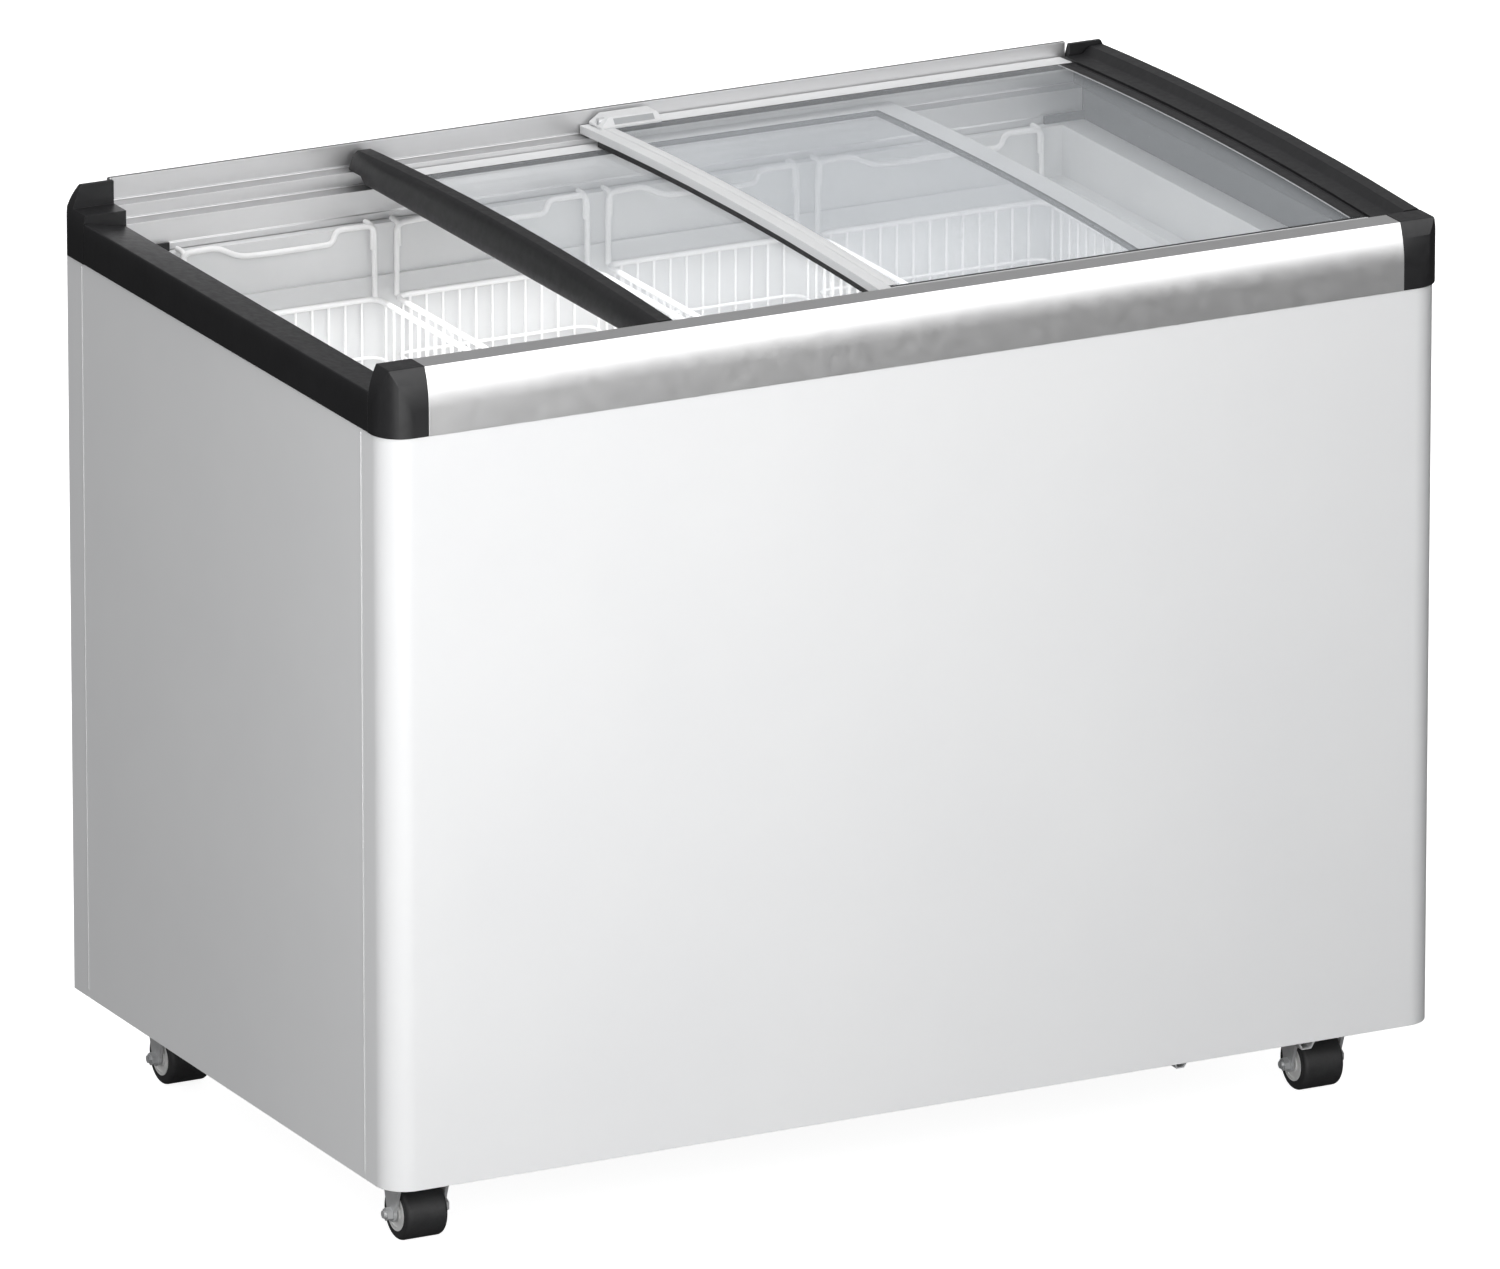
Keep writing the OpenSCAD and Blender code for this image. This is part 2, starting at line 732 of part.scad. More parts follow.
// Discharge, liquid and suction lines
module refrigerant_pipes() {
    c = comp_at;
    color([0.72, 0.45, 0.25]) stand() {
        bar_x([c[0] + 73.5, c[1] - 10, 90], 3.2, 26.5);
        bar_y([c[0] + 100, -146, 90], 3.2, c[1] + 136);
        translate([c[0] + 100, c[1] - 10, 90]) sphere(r = 3.2);
        bar_z([300, 60, 240], 3, bay_h - 240);
        bar_z([300, 60, 104], 3, 16);
        bar_y([300, -120, 104], 3, 180);
        translate([300, 60, 104]) sphere(r = 3);
        bar_z([c[0] - 30, c[1] + 84, 100], 4, bay_h - 100);
        bar_y([c[0] - 30, c[1] + 69.5, 100], 4, 14.5);
        translate([c[0] - 30, c[1] + 84, 100]) sphere(r = 4);
    }
}

// Louvred cover of the machine bay
module rear_grille() {
    k = knob_at;
    color(BLACK) stand() difference() {
        union() {
            box(grille_x, [hy, hy + 2.5], grille_z);
            for (i = [0:12]) box([grille_x[0] + 16, grille_x[1] - 16], [hy + 2, hy + 5],
                [34 + i * 13, 38 + i * 13]);
        }
        for (i = [0:12]) box([grille_x[0] + 16, grille_x[1] - 16], [hy - 1, hy + 6],
            [38 + i * 13, 45 + i * 13]);
        bar_y([k[0], hy - 1, k[2]], 7, 8);
        box(inlet_x, [hy - 1, hy + 8], inlet_z);
        for (x = [grille_x[0] + 6, grille_x[1] - 6]) for (z = [24, bay_h - 20])
            bar_y([x, hy - 1, z], 2.2, 8);
    }
}

module thermostat_box() {
    k = knob_at;
    color(LIGHT) stand() {
        box([k[0] - 24, k[0] + 24], [hy - 40, hy - 1], [k[2] - 20, k[2] + 20]);
        bar_y([k[0], hy - 1.5, k[2]], 3, 12);
    }
}

// Dial with finger ribs
module thermostat_knob() {
    color(BLACK) stand() translate(knob_at) rotate([-90, 0, 0]) difference() {
        union() {
            cylinder(h = 12, r = 16, $fn = 64);
            translate([-15, -3, 0]) cube([30, 6, 14]);
        }
        translate([0, 0, -1]) cylinder(h = 9.5, r = 3.05);
        for (i = [0:11]) rotate([0, 0, 15 + i * 30]) translate([17, 0, -1]) cylinder(h = 20, r = 2);
    }
}

// Recessed three-pin inlet; the lead is left off
module power_inlet() {
    x = inlet_x;
    z = inlet_z;
    color(BLACK) stand() {
        difference() {
            union() {
                box([x[0] + 0.2, x[1] - 0.2], [hy - 22, hy + 2.5], [z[0] + 0.2, z[1] - 0.2]);
                box([x[0] - 5, x[1] + 5], [hy + 2.5, hy + 5], [z[0] - 4, z[1] + 4]);
            }
            box([x[0] + 3, x[1] - 3], [hy - 17, hy + 6], [z[0] + 3, z[1] - 3]);
        }
        for (i = [-1:1]) translate([(x[0] + x[1]) / 2 + 7 * i, 0, (z[0] + z[1]) / 2 + (i == 0 ? 4 : 0)])
            box([-1, 1], [hy - 18, hy - 3], [-3, 1]);
    }
}

// Two blocks on the back that keep the cabinet off a wall
module wall_spacers() {
    color(BLACK) stand() for (x = [-430, 180])
        box([x, x + 40], [hy, frame_y + wall_gap], [560, 600]);
}

// ---------- castors ----------

CASTORS = [[castor_left, -castor_y], [castor_right, -castor_y],
    [castor_left, castor_y], [castor_right, castor_y]];
leg_x = wheel_w / 2 + fork_gap;

// Tapered fork leg with a round end about the axle
module fork_leg() {
    difference() {
        union() {
            circle(r = 7.5);
            polygon([[-22, -axle_z - 2], [17, -axle_z - 2], [16, -axle_z - 16],
                [7.3, 2], [-7.3, 2], [-20, -axle_z - 12]]);
        }
        circle(r = axle_r);
    }
}

module castor_forks() {
    color(STEEL) stand() for (c = CASTORS) translate([c[0], c[1], 0]) {
        difference() {
            box([-leg_x - fork_t, leg_x + fork_t], [-34, 34], [-3, 0]);
            for (s = [-1, 1]) bar_z([0, s * 27, -4], 3.1, 8);
        }
        for (s = [-leg_x - fork_t, leg_x]) translate([0, 0, axle_z])
            along_x(s, s + fork_t) fork_leg();
    }
}

// Axle bolts with a hexagon at each end
module castor_axles() {
    l = leg_x + fork_t;
    color(STEEL) stand() for (c = CASTORS) translate([c[0], c[1], axle_z]) {
        bar_x([-l, 0, 0], axle_r, 2 * l);
        for (s = [-l - 5, l]) translate([s, 0, 0]) rotate([0, 90, 0]) cylinder(h = 5, r = 6.2, $fn = 6);
        bar_x([-l - 7.5, 0, 0], axle_r - 0.4, 3);
    }
}

// Screws that hold each fork to the floor tray
module castor_bolts() {
    color(STEEL) stand() for (c = CASTORS) for (s = [-1, 1]) {
        bar_z([c[0], c[1] + s * 27, -3], 3.1, 3);
        translate([c[0], c[1] + s * 27, -6]) cylinder(h = 3, r = 5.6, $fn = 6);
    }
}

module at_castor(i) {
    c = CASTORS[i];
    stand() translate([c[0], c[1], axle_z]) rotate([0, 90, 0]) children();
}

module hub(i) {
    color(LIGHT) at_castor(i) difference() {
        translate([0, 0, -wheel_w / 2]) cylinder(h = wheel_w, r = hub_r);
        translate([0, 0, -wheel_w]) cylinder(h = 2 * wheel_w, r = axle_r + 0.05);
        for (s = [-1, 1]) translate([0, 0, s * wheel_w / 2]) difference() {
            cylinder(h = 3, r = 14, center = true);
            cylinder(h = 4, r = 8, center = true);
        }
    }
}

// Tread with rounded shoulders
module tyre(i) {
    h = wheel_w / 2 - 0.5;
    r = 4;
    color(BLACK) at_castor(i) rotate_extrude($fn = 96) union() {
        translate([hub_r, -h]) square([wheel_r - r - hub_r, 2 * h]);
        translate([wheel_r - r - eps, -h + r]) square([r + eps, 2 * (h - r)]);
        for (s = [-1, 1]) intersection() {
            translate([wheel_r - r, s * (h - r)]) circle(r = r, $fn = 40);
            translate([wheel_r - r - eps, s > 0 ? h - r : -h]) square([r + eps, r]);
        }
    }
}

front_panel();
side_panel(-1);  // left_side_panel
side_panel(1);  // right_side_panel
rear_panel();
base_pan();
insulation_foam();
inner_liner();
evaporator_coil();
front_rail();
rear_rail();
side_beam(-1);  // left_side_beam
side_beam(1);  // right_side_beam
front_cap(-1);  // front_left_cap
front_cap(1);  // front_right_cap
rear_cap(-1);  // rear_left_cap
rear_cap(1);  // rear_right_cap
compressor();
compressor_grommets();
relay_cover();
condenser();
fan_shroud();
fan_motor();
fan_rotor();
filter_drier();
refrigerant_pipes();
rear_grille();
thermostat_box();
thermostat_knob();
power_inlet();
drain_tube();
drain_plug();
wall_spacers();
castor_forks();
castor_axles();
castor_bolts();
hub(0);  // hub_front_left
hub(1);  // hub_front_right
hub(2);  // hub_rear_left
hub(3);  // hub_rear_right
tyre(0);  // tyre_front_left
tyre(1);  // tyre_front_right
tyre(2);  // tyre_rear_left
tyre(3);  // tyre_rear_right
lower_lid_glass();
lower_lid_handle();
lower_lid_rails();
lower_lid_end_rail();
lower_lid_seals();
upper_lid_glass();
upper_lid_handle();
upper_lid_rails();
upper_lid_end_rail();
upper_lid_corners();
upper_lid_seals();
lock_housing();
lock_cylinder();
basket(0);  // basket_1
basket(1);  // basket_2
basket(2);  // basket_3
basket(3);  // basket_4
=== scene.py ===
"""Looks of the glass-top chest freezer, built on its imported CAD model."""
import bmesh
import bpy
import json
import math
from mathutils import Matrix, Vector

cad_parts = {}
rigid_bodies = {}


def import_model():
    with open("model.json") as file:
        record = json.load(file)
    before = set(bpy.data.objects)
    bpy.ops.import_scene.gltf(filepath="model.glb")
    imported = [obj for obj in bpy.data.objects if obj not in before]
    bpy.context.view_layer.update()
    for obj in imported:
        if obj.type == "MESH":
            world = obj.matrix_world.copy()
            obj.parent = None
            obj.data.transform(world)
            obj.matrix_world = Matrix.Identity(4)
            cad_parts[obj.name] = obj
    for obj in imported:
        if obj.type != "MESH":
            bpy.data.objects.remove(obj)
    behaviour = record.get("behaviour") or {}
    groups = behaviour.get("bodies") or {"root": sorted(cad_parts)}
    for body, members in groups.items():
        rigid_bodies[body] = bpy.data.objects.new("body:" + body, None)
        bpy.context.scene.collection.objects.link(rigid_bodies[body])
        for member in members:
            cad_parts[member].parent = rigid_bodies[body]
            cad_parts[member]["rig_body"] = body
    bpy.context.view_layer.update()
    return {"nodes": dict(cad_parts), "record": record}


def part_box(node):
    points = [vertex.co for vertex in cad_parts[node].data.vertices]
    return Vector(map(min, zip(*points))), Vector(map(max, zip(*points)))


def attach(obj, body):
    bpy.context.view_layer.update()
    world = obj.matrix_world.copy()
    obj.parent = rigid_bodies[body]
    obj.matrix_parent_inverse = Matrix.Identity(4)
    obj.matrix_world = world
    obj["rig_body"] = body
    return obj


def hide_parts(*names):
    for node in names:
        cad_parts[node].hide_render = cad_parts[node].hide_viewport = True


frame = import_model()
nodes = frame["nodes"]
slot_of = {part["node"]: part["material_slot"] for part in frame["record"]["subparts"]}


# ---------------------------------------------------------------- materials

def new_material(name):
    mat = bpy.data.materials.new(name)
    mat.use_nodes = True
    tree = mat.node_tree
    return mat, tree, tree.nodes["Principled BSDF"]


def add(tree, kind, **values):
    """A node with its properties set."""
    node = tree.nodes.new(kind)
    for key, value in values.items():
        setattr(node, key, value)
    return node


def noise(tree, scale, detail=3.0, rough=0.5):
    """Noise over the object's own coordinates; scale counts per metre."""
    where = add(tree, "ShaderNodeTexCoord")
    tex = add(tree, "ShaderNodeTexNoise")
    tex.inputs["Scale"].default_value = scale
    tex.inputs["Detail"].default_value = detail
    tex.inputs["Roughness"].default_value = rough
    tree.links.new(where.outputs["Object"], tex.inputs["Vector"])
    return tex.outputs[0]


def ranged(tree, socket, low, high, a=0.3, b=0.7):
    """Maps a noise value from a..b to low..high."""
    node = add(tree, "ShaderNodeMapRange")
    for key, value in (("From Min", a), ("From Max", b), ("To Min", low), ("To Max", high)):
        node.inputs[key].default_value = value
    tree.links.new(socket, node.inputs["Value"])
    return node.outputs[0]


def blended(tree, socket, one, two):
    """One colour turning into another as the value goes from 0 to 1."""
    node = add(tree, "ShaderNodeMix", data_type="RGBA")
    tree.links.new(socket, node.inputs["Factor"])
    sockets = [s for s in node.inputs if s.type == "RGBA"]
    sockets[0].default_value = (*one, 1)
    sockets[1].default_value = (*two, 1)
    return [s for s in node.outputs if s.type == "RGBA"][0]


def bumped(tree, shader, socket, strength, distance):
    node = add(tree, "ShaderNodeBump")
    node.inputs["Strength"].default_value = strength
    node.inputs["Distance"].default_value = distance
    tree.links.new(socket, node.inputs["Height"])
    tree.links.new(node.outputs[0], shader.inputs["Normal"])


def plain_surface(name, light, dark, patch, rough, grain, strength, distance=0.0002, metal=0.0,
                  spec=0.5):
    """Colour between light and dark in soft patches, roughness that varies, and a fine grain."""
    mat, tree, shader = new_material(name)
    wide = ranged(tree, noise(tree, patch, 4.0, 0.6), 0.0, 1.0)
    tree.links.new(blended(tree, wide, light, dark), shader.inputs["Base Color"])
    worn = noise(tree, patch * 7, 3.0, 0.6)
    tree.links.new(ranged(tree, worn, *rough), shader.inputs["Roughness"])
    bumped(tree, shader, noise(tree, grain, 2.0, 0.5), strength, distance)
    shader.inputs["Metallic"].default_value = metal
    shader.inputs["Specular IOR Level"].default_value = spec
    return mat


MATERIALS = {
    "white_paint": plain_surface("white_paint", (0.845, 0.85, 0.855), (0.825, 0.83, 0.838), 5,
                                 (0.36, 0.44), 1100, 0.05),
    "zinc_steel": plain_surface("zinc_steel", (0.72, 0.725, 0.73), (0.6, 0.61, 0.62), 55,
                                (0.36, 0.5), 700, 0.12, metal=0.45),
    "foam": plain_surface("foam", (0.72, 0.62, 0.4), (0.62, 0.52, 0.3), 60, (0.85, 0.95), 500,
                          0.5, 0.0008),
    "liner": plain_surface("liner", (0.75, 0.755, 0.76), (0.71, 0.715, 0.72), 14, (0.34, 0.42),
                           900, 0.05, 0.0002),
    "aluminium_tube": plain_surface("aluminium_tube", (0.76, 0.77, 0.78), (0.66, 0.67, 0.68), 30,
                                    (0.28, 0.4), 600, 0.1, metal=1.0),
    "satin_rail": plain_surface("satin_rail", (0.78, 0.78, 0.78), (0.75, 0.75, 0.755), 9,
                                (0.37, 0.42), 2600, 0.03, 0.00012, metal=1.0),
    "rear_rail": plain_surface("rear_rail", (0.66, 0.66, 0.66), (0.63, 0.63, 0.635), 9,
                               (0.38, 0.44), 2600, 0.03, 0.00012, metal=0.85),
    "black_plastic": plain_surface("black_plastic", (0.014, 0.014, 0.015), (0.010, 0.010, 0.011),
                                   20, (0.38, 0.48), 1500, 0.1, 0.0001, spec=0.4),
    "black_paint": plain_surface("black_paint", (0.03, 0.03, 0.032), (0.022, 0.022, 0.024), 20,
                                 (0.3, 0.45), 900, 0.12),
    "rubber": plain_surface("rubber", (0.016, 0.016, 0.017), (0.024, 0.024, 0.025), 60,
                            (0.6, 0.75), 1200, 0.2),
    "copper": plain_surface("copper", (0.72, 0.36, 0.22), (0.55, 0.26, 0.16), 40, (0.25, 0.45),
                            700, 0.1, metal=1.0),
    "grey_plastic": plain_surface("grey_plastic", (0.40, 0.41, 0.42), (0.37, 0.38, 0.39), 20,
                                  (0.42, 0.52), 1400, 0.15),
    "light_plastic": plain_surface("light_plastic", (0.74, 0.745, 0.75), (0.70, 0.705, 0.71), 20,
                                   (0.36, 0.46), 1400, 0.12),
    "hub_plastic": plain_surface("hub_plastic", (0.82, 0.82, 0.81), (0.74, 0.74, 0.73), 30,
                                 (0.35, 0.5), 900, 0.12),
    "tyre": plain_surface("tyre", (0.018, 0.018, 0.019), (0.028, 0.028, 0.029), 80, (0.5, 0.66),
                          1300, 0.2),
    "coated_wire": plain_surface("coated_wire", (0.94, 0.94, 0.94), (0.91, 0.91, 0.91), 30,
                                 (0.3, 0.4), 900, 0.1),
}


def paint_shade_on_ledges(mat, wall, ledge_shade):
    """Paints shade on the parts of a surface that face up: they take the ledge colour instead of the
    wall colour.
    """
    tree = mat.node_tree
    facing = add(tree, "ShaderNodeNewGeometry")
    split = add(tree, "ShaderNodeSeparateXYZ")
    tree.links.new(facing.outputs["Normal"], split.inputs[0])
    up = ranged(tree, split.outputs["Z"], 0.0, 1.0, 0.55, 0.85)
    tree.links.new(blended(tree, up, wall, ledge_shade), tree.nodes["Principled BSDF"].inputs["Base Color"])


# painted shade: the rear rail's up-facing ledges get a darker grey than its walls
paint_shade_on_ledges(MATERIALS["rear_rail"], (0.66, 0.66, 0.665), (0.36, 0.36, 0.365))


def glass_material():
    mat, tree, shader = new_material("lid_glass")
    wide = ranged(tree, noise(tree, 2.5, 2.0), 0.0, 1.0)
    tree.links.new(blended(tree, wide, (0.80, 0.84, 0.88), (0.76, 0.80, 0.84)),
                   shader.inputs["Base Color"])
    shader.inputs["Alpha"].default_value = 0.2
    shader.inputs["Roughness"].default_value = 0.04
    shader.inputs["IOR"].default_value = 2.0
    return mat


MATERIALS["lid_glass"] = glass_material()


# ---------------------------------------------------------------- pieces

def place(name, mesh, body, slot, stands_for=(), material=None):
    """Makes a piece from a mesh in the row frame, and hangs it on its body."""
    obj = bpy.data.objects.new(name, mesh)
    bpy.context.scene.collection.objects.link(obj)
    mesh.materials.clear()
    mesh.materials.append(material or MATERIALS[slot])
    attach(obj, body)
    if stands_for:
        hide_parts(*stands_for)
    return obj


def finished(bm, name):
    """The mesh that a bmesh makes; the bmesh is freed."""
    mesh = bpy.data.meshes.new(name)
    bm.to_mesh(mesh)
    bm.free()
    return mesh


def skin(bm, rings, ends=True):
    """Faces from each ring of vertices to the next, and over both ends."""
    count = len(rings[0])
    for one, two in zip(rings, rings[1:]):
        for k in range(count):
            m = (k + 1) % count
            bm.faces.new((one[k], one[m], two[m], two[k]))
    if ends:
        bm.faces.new(rings[0][::-1])
        bm.faces.new(rings[-1])


def smooth(mesh, angle):
    mesh.polygons.foreach_set("use_smooth", [True] * len(mesh.polygons))
    mesh.set_sharp_from_angle(angle=math.radians(angle))


WELD = 1e-5             # metres
FLAT = math.radians(0.6)
SHARP = math.radians(32)


def softened(node, width):
    """The CAD node's shape with its sharp edges rounded; width in mm."""
    src = nodes[node]
    bm = bmesh.new()
    bm.from_mesh(src.data)
    bmesh.ops.remove_doubles(bm, verts=bm.verts, dist=WELD)
    bmesh.ops.dissolve_limit(bm, angle_limit=FLAT, verts=bm.verts, edges=bm.edges)
    bmesh.ops.recalc_face_normals(bm, faces=bm.faces)
    sharp = [e for e in bm.edges if len(e.link_faces) == 2
             and e.calc_face_angle(0) > SHARP]
    bmesh.ops.bevel(bm, geom=sharp, offset=width / 1000, segments=2, profile=0.5,
                    affect="EDGES", clamp_overlap=True)
    mesh = finished(bm, node + "_looks")
    smooth(mesh, 38)
    obj = place(node + "_looks", mesh, src["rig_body"], slot_of[node], [node],
                MATERIALS.get(node))
    even = obj.modifiers.new("even", "WEIGHTED_NORMAL")
    even.keep_sharp = True


for node, obj in nodes.items():
    obj.data.materials.clear()
    obj.data.materials.append(MATERIALS[slot_of[node]])

SOFTENED = {
    "front_panel": 0.5, "left_side_panel": 0.3, "right_side_panel": 0.3, "rear_panel": 0.3,
    "front_rail": 0.4, "rear_rail": 0.4, "left_side_beam": 1.2, "right_side_beam": 1.2,
    "front_left_cap": 1.6, "front_right_cap": 1.6, "rear_left_cap": 0.8, "rear_right_cap": 0.8,
    "lower_lid_handle": 1.2, "upper_lid_handle": 1.2,
    "lower_lid_rails": 0.5, "upper_lid_rails": 0.5,
    "lower_lid_end_rail": 0.6, "upper_lid_end_rail": 0.6, "upper_lid_corners": 0.6,
    "lock_housing": 0.8, "base_pan": 0.4,
}
for node, width in SOFTENED.items():
    softened(node, width)


def mm(*values):
    return Vector(values) / 1000


def spread(low, high, pitch):
    """Even places between low and high, about pitch apart."""
    count = max(1, round((high - low) / pitch))
    return [low + (high - low) * i / count for i in range(count + 1)]


# ---------------------------------------------------------------- strips on the upper lid

LID_HALF = 304          # mm from the ridge of the lid to where its bow ends
LID_RISE = 8            # mm
pane_low, pane_high = [corner * 1000 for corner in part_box("upper_lid_glass")]


def lid_strip(name, x0, x1, lift, slot):
    """A thin strip that lies across the upper lid and follows its bow; mm."""
    ys = spread(pane_low.y, pane_high.y, 12)
    bm = bmesh.new()
    section = [(x0, 0), (x0, lift - 0.15), (x0 + 0.3, lift), (x1 - 0.3, lift), (x1, lift - 0.15),
               (x1, 0)]
    rings = [[bm.verts.new(mm(x, y, pane_high.z - LID_RISE * (y / LID_HALF) ** 2 + z))
              for x, z in section] for y in ys]
    skin(bm, rings)
    bmesh.ops.recalc_face_normals(bm, faces=bm.faces)
    mesh = finished(bm, name)
    smooth(mesh, 40)
    place(name, mesh, nodes["upper_lid_glass"]["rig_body"], slot)


def lock_label():
    """A blank plate on the sloped front of the lock block; mm."""
    low, high = [corner * 1000 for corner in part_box("lock_housing")]
    x0, x1 = low.x + 14, high.x - 6
    y0, z0 = low.y, low.z + 2
    run, rise = 6, high.z - z0
    bottom, top = 0.2, 0.82
    out = Vector((0, -rise, run)).normalized()
    bm = bmesh.new()
    rings = []
    for grow, lift in ((0, -0.2), (0, 0.25), (-0.3, 0.4)):
        ring = []
        for x, share in ((x0 - grow, bottom), (x1 + grow, bottom), (x1 + grow, top),
                         (x0 - grow, top)):
            p = Vector((x, y0 + run * share, z0 + rise * share)) + out * lift
            ring.append(bm.verts.new(p / 1000))
        rings.append(ring)
    skin(bm, rings)
    bmesh.ops.recalc_face_normals(bm, faces=bm.faces)
    place("lock_label", finished(bm, "lock_label"), nodes["lock_housing"]["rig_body"], "grey_plastic")


lid_strip("upper_lid_end_trim", pane_low.x - 5, pane_low.x + 4, 0.5, "light_plastic")
lid_strip("upper_lid_frit", pane_high.x - 11, pane_high.x, 0.3, "black_plastic")
# painted highlight: a thin lighter grey strip along the inner edge of the black frit stands in for a
# glint
lid_strip("upper_lid_painted_glint", pane_high.x - 13, pane_high.x - 11.3, 0.3, "grey_plastic")
lock_label()


# ---------------------------------------------------------------- seam beads

def seam_bead(name, panel, y, side):
    """The raised line down a side skin where its sheet laps the next one; it tapers at the foot."""
    low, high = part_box(panel)
    x = (low.x if side < 0 else high.x) - side * 0.0002
    foot, head = low.z + 0.006, high.z - 0.004
    bm = bmesh.new()
    section = [(-0.0011, 0), (-0.0008, 0.0005), (-0.0003, 0.0007), (0.0003, 0.0007),
               (0.0008, 0.0005), (0.0011, 0)]
    rings = [[bm.verts.new((x + side * out * share, y + along, z)) for along, out in section]
             for z, share in ((foot, 0.1), (foot + 0.002, 1), (head, 1))]
    skin(bm, rings)
    bmesh.ops.recalc_face_normals(bm, faces=bm.faces)
    mesh = finished(bm, name)
    smooth(mesh, 50)
    place(name, mesh, nodes[panel]["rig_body"], slot_of[panel])


FRONT_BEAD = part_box("front_panel")[0].y + 0.050
REAR_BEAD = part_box("rear_panel")[1].y - 0.030
for panel, side in (("left_side_panel", -1), ("right_side_panel", 1)):
    seam_bead(panel + "_front_bead", panel, FRONT_BEAD, side)
    seam_bead(panel + "_rear_bead", panel, REAR_BEAD, side)


# ---------------------------------------------------------------- wire baskets

def rounded(points, radius, steps=4, closed=False):
    """The path with its corners rounded; radius in metres."""
    out = []
    count = len(points)
    for i, p in enumerate(points):
        if not closed and i in (0, count - 1):
            out.append(p)
            continue
        a, b = points[i - 1] - p, points[(i + 1) % count] - p
        r = min(radius, a.length * 0.45, b.length * 0.45)
        start, end = p + a.normalized() * r, p + b.normalized() * r
        for k in range(steps + 1):
            t = k / steps
            out.append(start * (1 - t) ** 2 + p * 2 * t * (1 - t) + end * t ** 2)
    return out


def tube(bm, path, radius, sides=6, closed=False):
    """A round wire along the path."""
    count = len(path)
    rings = []
    side = None
    for i, p in enumerate(path):
        ahead = path[(i + 1) % count] if closed or i < count - 1 else p
        behind = path[i - 1] if closed or i > 0 else p
        way = (ahead - behind).normalized()
        if side is None:
            side = way.orthogonal().normalized()
        side = (side - way * side.dot(way)).normalized()
        up = way.cross(side)
        rings.append([bm.verts.new(p + side * (radius * math.cos(2 * math.pi * k / sides))
                                   + up * (radius * math.sin(2 * math.pi * k / sides)))
                      for k in range(sides)])
    if closed:
        rings.append(rings[0])
    skin(bm, rings, ends=not closed)


RIM_HEIGHT = 190        # all in mm
RIM_R = 2.6             # thick wires: rim and hangers
RING_R = 1.5
WIRE_R = 1.2
PITCH = 16.5
FRONT_HOOK = 10.5
REAR_HOOK = 14.5


def hanger(bm, a, b, y, back, rim, top):
    """The bent thick wire over one end of a basket, and the two hooks that reach back from it."""
    path = [mm(a, y, rim - 2), mm(a, y, top - 1), mm(a + 34, y, top + 0.4),
            mm(a + 56, y, top - 11), mm(a + 78, y, top - 12), mm(b - 42, y, top - 12),
            mm(b - 38, y, top), mm(b, y, top), mm(b, y, rim - 2)]
    tube(bm, rounded(path, 0.009, 5), RIM_R / 1000, 10)
    for x in (a + 2, b - 2):
        hook = [mm(x, y, top - 22), mm(x, y, top), mm(x, y + back, top)]
        tube(bm, rounded(hook, 0.006), 0.0025, 8)


def basket(node):
    """Thin upright wires under a thick rim, with a bent hanger at the front and the rear."""
    low, high = [corner * 1000 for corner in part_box(node)]
    x0, x1 = low.x, high.x
    y0, y1 = low.y + FRONT_HOOK + 0.5, high.y - REAR_HOOK - 0.5
    z0, top = low.z, high.z - RIM_R
    rim = z0 + RIM_HEIGHT
    bm = bmesh.new()

    def ring(z, inset, radius, sides):
        a, b, c, d = x0 + inset, x1 - inset, y0 + inset, y1 - inset
        path = [mm(a, c, z), mm(b, c, z), mm(b, d, z), mm(a, d, z)]
        tube(bm, rounded(path, 0.014, 5, True), radius / 1000, sides, True)

    ring(rim - RIM_R, RIM_R, RIM_R, 10)
    for drop in (56, 122):
        ring(rim - drop, 3.6, RING_R, 6)
    for y in spread(y0 + 20, y1 - 20, PITCH):
        path = [mm(x0 + RIM_R, y, rim - 3), mm(x0 + RIM_R, y, z0 + 1.3),
                mm(x1 - RIM_R, y, z0 + 1.3), mm(x1 - RIM_R, y, rim - 3)]
        tube(bm, rounded(path, 0.016), WIRE_R / 1000)
    for x in spread(x0 + 18, x1 - 18, PITCH):
        path = [mm(x, y0 + RIM_R, rim - 3), mm(x, y0 + RIM_R, z0 + 3.4),
                mm(x, y1 - RIM_R, z0 + 3.4), mm(x, y1 - RIM_R, rim - 3)]
        tube(bm, rounded(path, 0.016), WIRE_R / 1000)
    for y, back in ((y1 - RIM_R, REAR_HOOK), (y0 + RIM_R, -FRONT_HOOK)):
        hanger(bm, x0 + 5, x1 - 5, y, back, rim, top)
    mesh = finished(bm, node + "_wires")
    smooth(mesh, 60)
    place(node + "_wires", mesh, nodes[node]["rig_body"], "coated_wire", [node])


for number in (1, 2, 3, 4):
    basket(f"basket_{number}")


# ---------------------------------------------------------------- stage, light, camera

def floor():
    """A white ground that the object doesn't mirror; it only takes shadows."""
    mesh = bpy.data.meshes.new("studio_floor")
    r = 300
    mesh.from_pydata([(-r, -r, 0), (r, -r, 0), (r, r, 0), (-r, r, 0)], [], [(0, 1, 2, 3)])
    obj = bpy.data.objects.new("studio_floor", mesh)
    bpy.context.scene.collection.objects.link(obj)
    mat, tree, shader = new_material("studio_floor")
    tint = ranged(tree, noise(tree, 0.4), 0.0, 1.0)
    tree.links.new(blended(tree, tint, (0.5, 0.5, 0.5), (0.49, 0.49, 0.49)),
                   shader.inputs["Base Color"])
    shader.inputs["Roughness"].default_value = 0.9
    shader.inputs["Emission Color"].default_value = (1, 1, 1, 1)
    shader.inputs["Emission Strength"].default_value = 0.9
    mesh.materials.append(mat)
    obj.visible_diffuse = False
    obj.visible_glossy = False


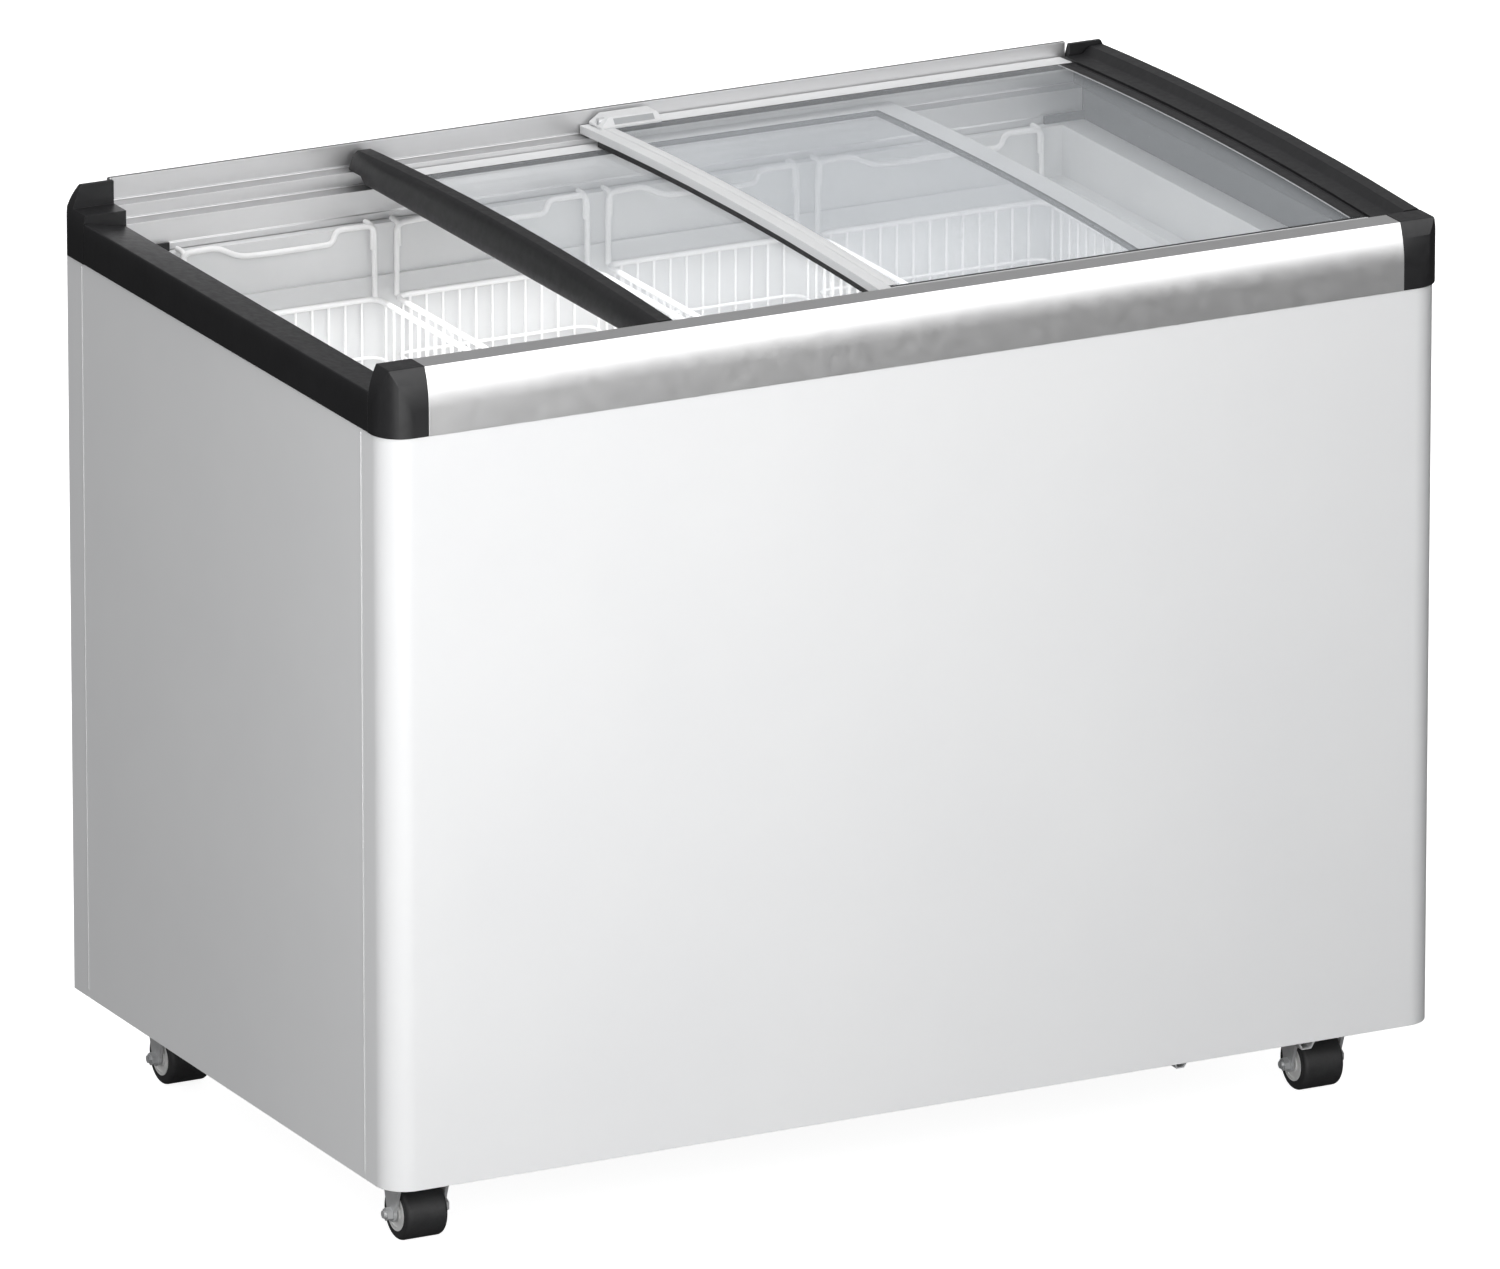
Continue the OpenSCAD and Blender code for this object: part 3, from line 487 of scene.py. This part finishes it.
def softbox(name, place_at, aim, size, power, diffuse=True):
    """An area light; one that isn't diffuse is seen only in reflections."""
    data = bpy.data.lights.new(name, "AREA")
    data.shape = "RECTANGLE"
    data.size, data.size_y = size
    data.energy = power
    obj = bpy.data.objects.new(name, data)
    bpy.context.scene.collection.objects.link(obj)
    obj.location = place_at
    obj.rotation_mode = "QUATERNION"
    obj.rotation_quaternion = (Vector(aim) - Vector(place_at)).to_track_quat("-Z", "Y")
    obj.visible_diffuse = diffuse
    obj.visible_camera = False
    return obj


def studio():
    """A grey world, darker below, and softboxes round the object."""
    world = bpy.data.worlds.new("studio")
    bpy.context.scene.world = world
    world.use_nodes = True
    tree = world.node_tree
    back = tree.nodes["Background"]
    where = add(tree, "ShaderNodeTexCoord")
    split = add(tree, "ShaderNodeSeparateXYZ")
    ramp = add(tree, "ShaderNodeValToRGB")
    tree.links.new(where.outputs["Generated"], split.inputs[0])
    height = ranged(tree, split.outputs["Z"], 0.0, 1.0, -1.0, 1.0)
    tree.links.new(height, ramp.inputs[0])
    stops = ramp.color_ramp.elements
    stops[0].position, stops[0].color = 0.38, (0.05, 0.05, 0.05, 1)
    stops[1].position, stops[1].color = 1.0, (0.5, 0.5, 0.505, 1)
    middle = stops.new(0.56)
    middle.color = (0.27, 0.27, 0.272, 1)
    tree.links.new(ramp.outputs[0], back.inputs["Color"])
    back.inputs["Strength"].default_value = 1.0
    softbox("key", (-0.725, -2.12, 1.15), (0.46, -0.33, 0.956), (2.3, 2.3), 51)
    softbox("side_fill", (-4.0, -0.3, 1.3), (-0.5, 0, 0.4), (3, 2), 24)
    softbox("top", (0.2, 0.5, 3.2), (0, 0, 0.8), (2.6, 2.0), 34).visible_glossy = False
    softbox("rear_fill", (3.0, 3.6, 1.4), (0, 0, 0.4), (3, 2), 75).visible_glossy = False
    softbox("rail_card", (2.6, -4.2, 3.4), (0, -0.33, 0.8), (5, 4), 160, diffuse=False)
    softbox("low_card", (1.5, -3.2, -0.3), (0, -0.33, 0.8), (4, 1.6), 1, diffuse=False)
    inside = softbox("inside", (0, 0, 0.705), (0, 0, 0), (0.8, 0.44), 2.2)
    inside.visible_glossy = False
    inside.visible_transmission = False
    bpy.context.scene.view_settings.view_transform = "Standard"


def camera():
    """The photograph's view: 19 m away, seen through a long lens from the left and above."""
    data = bpy.data.cameras.new("camera")
    data.sensor_width = 36
    data.lens = 511.7
    data.clip_start, data.clip_end = 1, 500
    obj = bpy.data.objects.new("camera", data)
    bpy.context.scene.collection.objects.link(obj)
    aim = Vector((0.0431, 0.0807, 0.3884))
    az, el = math.radians(27.159), math.radians(17.599)
    back = Vector((-math.sin(az) * math.cos(el), -math.cos(az) * math.cos(el), math.sin(el)))
    obj.location = aim + back * 19.068
    obj.rotation_mode = "QUATERNION"
    obj.rotation_quaternion = (-back).to_track_quat("-Z", "Y")
    bpy.context.scene.camera = obj


floor()
studio()
camera()
